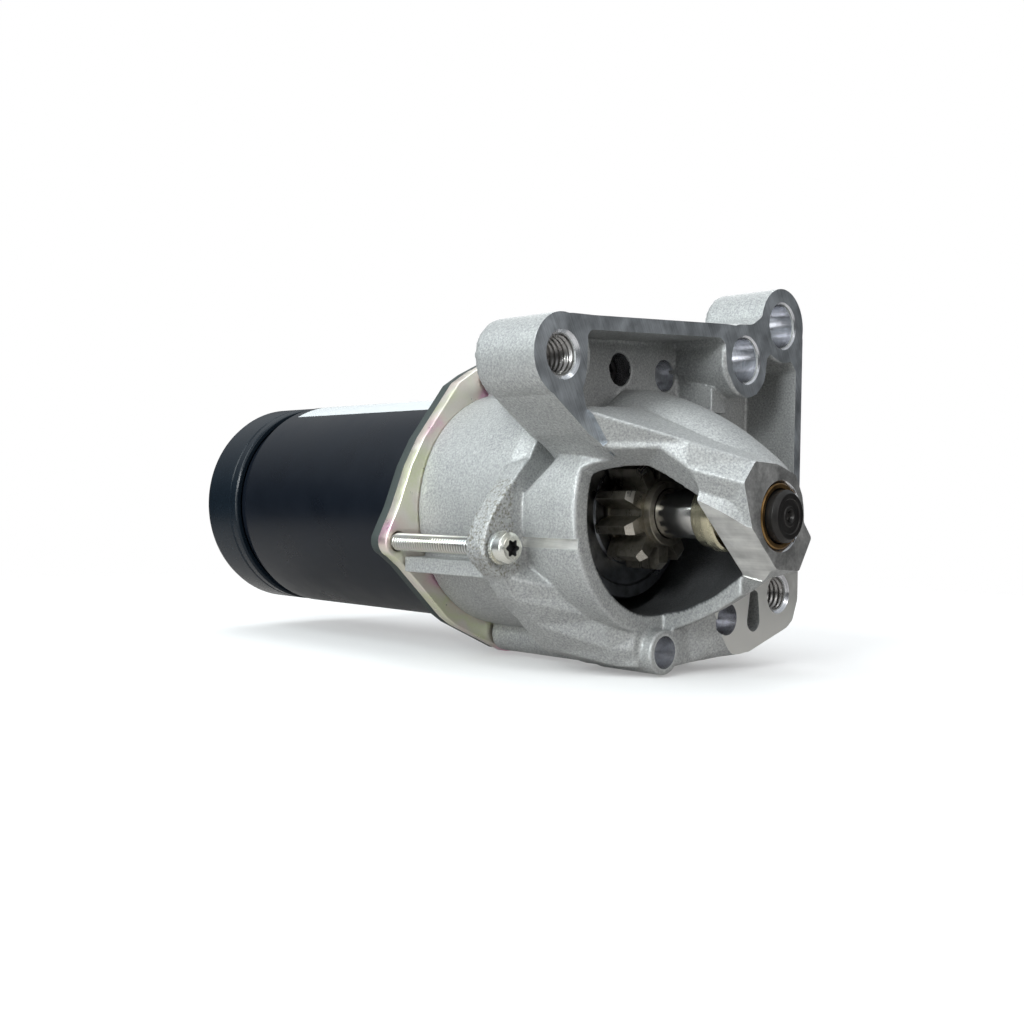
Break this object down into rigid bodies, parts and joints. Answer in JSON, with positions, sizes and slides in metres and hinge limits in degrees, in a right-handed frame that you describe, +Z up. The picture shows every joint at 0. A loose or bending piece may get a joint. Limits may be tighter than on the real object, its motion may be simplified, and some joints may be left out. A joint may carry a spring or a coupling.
{
  "type": "starter_motor",
  "caption": "Geared starter motor for a car engine, with a cast drive-end housing, sliding pinion in an open nose, motor tube and side solenoid",
  "frame": {"origin": "on the pinion shaft's axis, in the plane of the machined mounting face", "axes": "+Y runs from the nose to the motor's rear cap along the shaft, +Z is up as the part stands in the picture, +X is the side of the solenoid"},
  "size_m": [0.1342, 0.2146, 0.1076],
  "materials": {
    "housing_cast": "blasted casting with machined faces",
    "steel": "ground steel",
    "spring_steel": "drawn wire",
    "gear_steel": "dark hardened steel with bright edges",
    "collar_steel": "yellow zinc",
    "bronze": "sintered bronze",
    "nylon": "glass-filled nylon",
    "plate_zinc": "yellow-green zinc",
    "seal_rubber": "black rubber",
    "black_paint": "satin blue-black paint",
    "zinc_steel": "zinc plate",
    "copper": "bare copper",
    "core_steel": "stacked laminations",
    "magnet_ceramic": "ferrite",
    "carbon": "copper-carbon",
    "black_plastic": "moulded plastic",
    "lead_copper": "tinned copper braid"
  },
  "bodies": {
    "housing": {"drive_end_housing": "housing_cast", "fork_pivot_pin": "steel", "solenoid_core": "steel", "return_spring": "spring_steel", "brush_spring_1": "spring_steel", "brush_spring_2": "spring_steel", "brush_spring_3": "spring_steel", "brush_spring_4": "spring_steel", "nose_bush": "bronze", "centre_bush": "bronze", "rear_bush": "bronze", "ring_gear": "nylon", "brush_holder": "nylon", "mounting_plate": "plate_zinc", "plate_seal": "seal_rubber", "lead_grommet": "seal_rubber", "motor_tube": "black_paint", "rear_cap": "black_paint", "solenoid_case": "black_paint", "plate_screw_1": "zinc_steel", "plate_screw_2": "zinc_steel", "plate_screw_3": "zinc_steel", "through_bolt_1": "zinc_steel", "through_bolt_2": "zinc_steel", "solenoid_screw_1": "zinc_steel", "solenoid_screw_2": "zinc_steel", "battery_nut": "zinc_steel", "motor_nut": "zinc_steel", "spade_terminal": "zinc_steel", "solenoid_coil": "copper", "battery_stud": "copper", "motor_stud": "copper", "magnet_1": "magnet_ceramic", "magnet_2": "magnet_ceramic", "magnet_3": "magnet_ceramic", "magnet_4": "magnet_ceramic", "brush_1": "carbon", "brush_2": "carbon", "brush_3": "carbon", "brush_4": "carbon", "solenoid_cap": "black_plastic", "motor_lead": "lead_copper"},
    "armature": {"armature_shaft": "steel", "armature_core": "core_steel", "armature_winding": "copper", "commutator": "copper"},
    "drive": {"drive_shaft": "steel", "planet_pin_1": "steel", "planet_pin_2": "steel", "planet_pin_3": "steel", "stop_collar": "collar_steel", "retaining_ring": "steel"},
    "planet_1": {"planet_gear_1": "steel"},
    "planet_2": {"planet_gear_2": "steel"},
    "planet_3": {"planet_gear_3": "steel"},
    "clutch": {"overrunning_clutch": "gear_steel"},
    "pinion": {"pinion": "gear_steel"},
    "fork": {"fork_lever": "steel"},
    "plunger": {"solenoid_plunger": "steel"},
    "contact": {"moving_contact": "copper"}
  },
  "joints": [
    {"name": "armature_spin", "type": "hinge", "parent": "housing", "child": "armature", "pos_m": [0, 0.11, 0], "axis": [0, 1, 0], "continuous": true},
    {"name": "drive_spin", "type": "hinge", "parent": "housing", "child": "drive", "pos_m": [0, 0.05, 0], "axis": [0, 1, 0], "continuous": true},
    {"name": "planet_1_spin", "type": "hinge", "parent": "drive", "child": "planet_1", "pos_m": [0, 0.057, 0.01688], "axis": [0, 1, 0], "continuous": true},
    {"name": "planet_2_spin", "type": "hinge", "parent": "drive", "child": "planet_2", "pos_m": [-0.01461, 0.057, -0.00844], "axis": [0, 1, 0], "continuous": true},
    {"name": "planet_3_spin", "type": "hinge", "parent": "drive", "child": "planet_3", "pos_m": [0.01461, 0.057, -0.00844], "axis": [0, 1, 0], "continuous": true},
    {"name": "plunger_slide", "type": "slide", "parent": "housing", "child": "plunger", "axis": [0, 1, 0], "range_m": [0, 0.011], "stiffness_N_per_m": 1200, "springref_m": -0.006, "deforming": ["return_spring"]},
    {"name": "clutch_slide", "type": "slide", "parent": "drive", "child": "clutch", "axis": [0, -1, 0], "range_m": [0, 0.012]},
    {"name": "pinion_overrun", "type": "hinge", "parent": "clutch", "child": "pinion", "pos_m": [0, 0.0118, 0], "axis": [0, 1, 0], "continuous": true},
    {"name": "fork_swing", "type": "hinge", "parent": "housing", "child": "fork", "pos_m": [0.02719, 0.033, 0.01268], "axis": [-0.4226, 0, 0.9063], "range_deg": [0, 23.09]},
    {"name": "contact_slide", "type": "slide", "parent": "housing", "child": "contact", "axis": [0, 1, 0], "range_m": [0, 0.003]}
  ],
  "couplings": [
    {"joint": "drive_spin", "follows": "armature_spin", "ratio": 0.22222},
    {"joint": "planet_1_spin", "follows": "armature_spin", "ratio": -0.62222},
    {"joint": "planet_2_spin", "follows": "armature_spin", "ratio": -0.62222},
    {"joint": "planet_3_spin", "follows": "armature_spin", "ratio": -0.62222},
    {"joint": "clutch_slide", "follows": "plunger_slide", "ratio": 1.0909},
    {"joint": "fork_swing", "follows": "plunger_slide", "rad_per_m": 36.611},
    {"joint": "contact_slide", "follows": "plunger_slide", "ratio": 0.27273}
  ]
}
